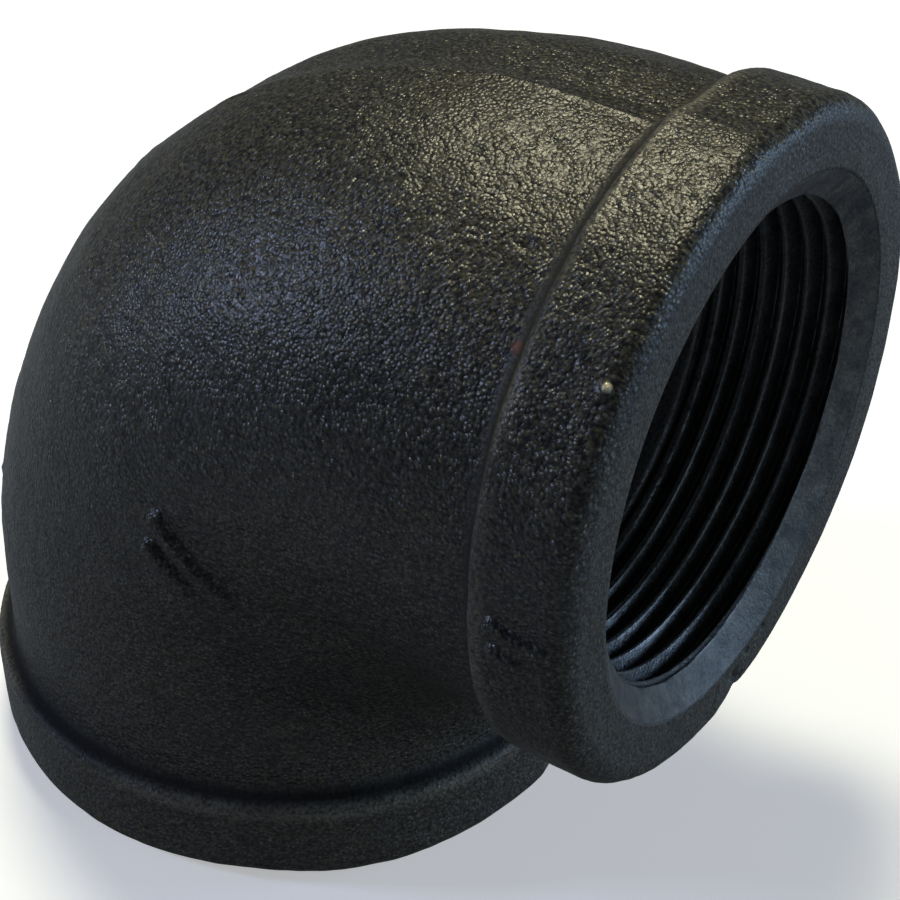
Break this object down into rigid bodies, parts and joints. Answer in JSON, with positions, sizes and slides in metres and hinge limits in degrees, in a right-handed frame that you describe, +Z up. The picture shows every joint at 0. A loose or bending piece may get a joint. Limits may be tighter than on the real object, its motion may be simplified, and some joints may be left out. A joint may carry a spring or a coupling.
{
  "type": "pipe elbow",
  "caption": "Cast iron 90 degree pipe elbow with a flat thickened band and a female tapered pipe thread at each end.",
  "frame": {"origin": "centre of the lower socket's end face, on the face's plane", "axes": "+Z up along the lower socket's axis, into the fitting; +X out of the side socket along its axis; +Y across the elbow's plane"},
  "size_m": [0.0806, 0.0631, 0.0806],
  "materials": {
    "cast_skin": "sand-cast iron skin under a thin black varnish, fine orange-peel grain with small bright speckles",
    "machined_thread": "oiled machined iron, dark steel blue with fine turning lines"
  },
  "bodies": {
    "root": {"bend": "cast_skin", "lower_neck": "cast_skin", "side_neck": "cast_skin", "lower_band": "cast_skin", "side_band": "cast_skin", "lower_thread": "machined_thread", "side_thread": "machined_thread", "body_mark": "cast_skin", "band_mark": "cast_skin"}
  },
  "joints": []
}
